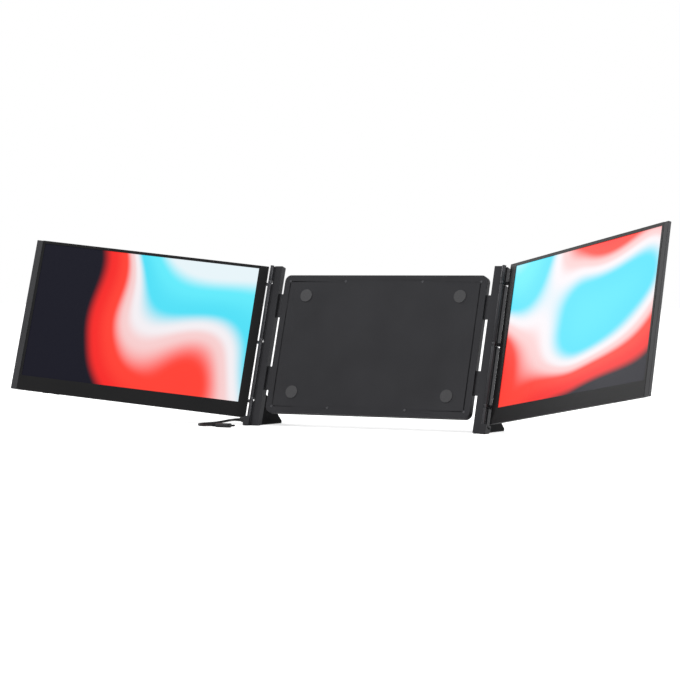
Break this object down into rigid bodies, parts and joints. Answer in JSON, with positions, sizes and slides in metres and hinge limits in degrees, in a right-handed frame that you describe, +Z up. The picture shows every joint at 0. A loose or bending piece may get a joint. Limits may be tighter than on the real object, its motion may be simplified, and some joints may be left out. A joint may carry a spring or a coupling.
{
  "type": "laptop screen extender",
  "caption": "Folding laptop screen extender: a flat unit behind the lid, sliding arms with hinge barrels, a thin screen on each side, swing-out feet and a short USB-C cable.",
  "frame": {"origin": "where the middle of the laptop lid's front plane meets the table, on the plane that the part stands on", "axes": "+X to the user's right along the lid's foot, +Y away from the user, +Z up; the lid and the frame lean back by 16.65 degrees"},
  "size_m": [0.992, 0.2464, 0.2762],
  "materials": {
    "acrylic": "clear acrylic",
    "arm_metal": "black anodised, satin",
    "button_plastic": "matte",
    "cable_jacket": "matte jacket",
    "circuit_board": "solder mask",
    "cover_plastic": "fine matte texture",
    "display_glass": "dark glass under a lit picture",
    "foot_plastic": "matte",
    "frame_plastic": "satin",
    "grip_plastic": "soft-touch matte",
    "guide_plastic": "moulded acetal",
    "plug_plastic": "matte moulding",
    "rubber": "matte",
    "screw_steel": "blackened",
    "shell_metal": "dark anodised, satin",
    "silicone": "matte",
    "steel": "brushed",
    "tray_metal": "bare sheet"
  },
  "bodies": {
    "centre_unit": {"centre_screws": "screw_steel", "front_plate": "shell_metal", "left_lower_guide": "guide_plastic", "left_upper_guide": "guide_plastic", "lid_pads": "silicone", "rear_shell": "shell_metal", "right_lower_guide": "guide_plastic", "right_upper_guide": "guide_plastic", "slide_brake_pads": "rubber"},
    "left_arm": {"left_side_arm": "arm_metal", "left_slide_tongues": "steel", "left_arm_cover": "cover_plastic", "left_arm_screws": "screw_steel", "left_hinge_pin": "steel", "left_hinge_cap": "arm_metal", "left_foot_pin": "steel", "left_port_board": "circuit_board", "left_port_cover": "cover_plastic", "left_usb_socket": "steel", "left_block_pad": "rubber", "near_plug": "plug_plastic", "usb_cable": "cable_jacket", "far_plug": "plug_plastic"},
    "left_screen": {"left_front_bezel": "frame_plastic", "left_rear_cover": "cover_plastic", "left_screen_screws": "screw_steel", "left_lcd_panel": "display_glass", "left_light_guide": "acrylic", "left_panel_tray": "tray_metal", "left_controller_board": "circuit_board", "left_hinge_bracket": "steel", "left_grip_strip": "grip_plastic"},
    "left_foot": {"left_stand_foot": "foot_plastic", "left_foot_tread": "rubber"},
    "left_power_button": {"left_power_button": "button_plastic"},
    "left_menu_button": {"left_menu_button": "button_plastic"},
    "right_arm": {"right_side_arm": "arm_metal", "right_slide_tongues": "steel", "right_arm_cover": "cover_plastic", "right_arm_screws": "screw_steel", "right_hinge_pin": "steel", "right_hinge_cap": "arm_metal", "right_foot_pin": "steel", "right_port_board": "circuit_board", "right_port_cover": "cover_plastic", "right_usb_socket": "steel", "right_block_pad": "rubber"},
    "right_screen": {"right_front_bezel": "frame_plastic", "right_rear_cover": "cover_plastic", "right_screen_screws": "screw_steel", "right_lcd_panel": "display_glass", "right_light_guide": "acrylic", "right_panel_tray": "tray_metal", "right_controller_board": "circuit_board", "right_hinge_bracket": "steel", "right_grip_strip": "grip_plastic"},
    "right_foot": {"right_stand_foot": "foot_plastic", "right_foot_tread": "rubber"},
    "right_power_button": {"right_power_button": "button_plastic"},
    "right_menu_button": {"right_menu_button": "button_plastic"}
  },
  "joints": [
    {"name": "right_arm_slide", "type": "slide", "parent": "centre_unit", "child": "right_arm", "axis": [1, 0, 0], "range_m": [-0.005, 0.022]},
    {"name": "right_screen_fold", "type": "hinge", "parent": "right_arm", "child": "right_screen", "pos_m": [0.1812, 0.03976, 0.119], "axis": [0, -0.2865, -0.9581], "range_deg": [-31.5, 148.5]},
    {"name": "right_foot_fold", "type": "hinge", "parent": "right_arm", "child": "right_foot", "pos_m": [0.1746, 0.02675, 0.0207], "axis": [0, 0.2865, 0.9581], "range_deg": [0, 90]},
    {"name": "right_power_press", "type": "slide", "parent": "right_screen", "child": "right_power_button", "axis": [0, 0.2865, 0.9581], "range_m": [0, 0.0004], "stiffness_N_per_m": 2000},
    {"name": "right_menu_press", "type": "slide", "parent": "right_screen", "child": "right_menu_button", "axis": [0, 0.2865, 0.9581], "range_m": [0, 0.0004], "stiffness_N_per_m": 2000},
    {"name": "left_arm_slide", "type": "slide", "parent": "centre_unit", "child": "left_arm", "axis": [-1, 0, 0], "range_m": [-0.005, 0.022]},
    {"name": "left_screen_fold", "type": "hinge", "parent": "left_arm", "child": "left_screen", "pos_m": [-0.1812, 0.03976, 0.119], "axis": [0, 0.2865, 0.9581], "range_deg": [-22.5, 157.5]},
    {"name": "left_foot_fold", "type": "hinge", "parent": "left_arm", "child": "left_foot", "pos_m": [-0.1746, 0.02675, 0.0207], "axis": [0, -0.2865, -0.9581], "range_deg": [0, 90]},
    {"name": "left_power_press", "type": "slide", "parent": "left_screen", "child": "left_power_button", "axis": [0, 0.2865, 0.9581], "range_m": [0, 0.0004], "stiffness_N_per_m": 2000},
    {"name": "left_menu_press", "type": "slide", "parent": "left_screen", "child": "left_menu_button", "axis": [0, 0.2865, 0.9581], "range_m": [0, 0.0004], "stiffness_N_per_m": 2000}
  ]
}
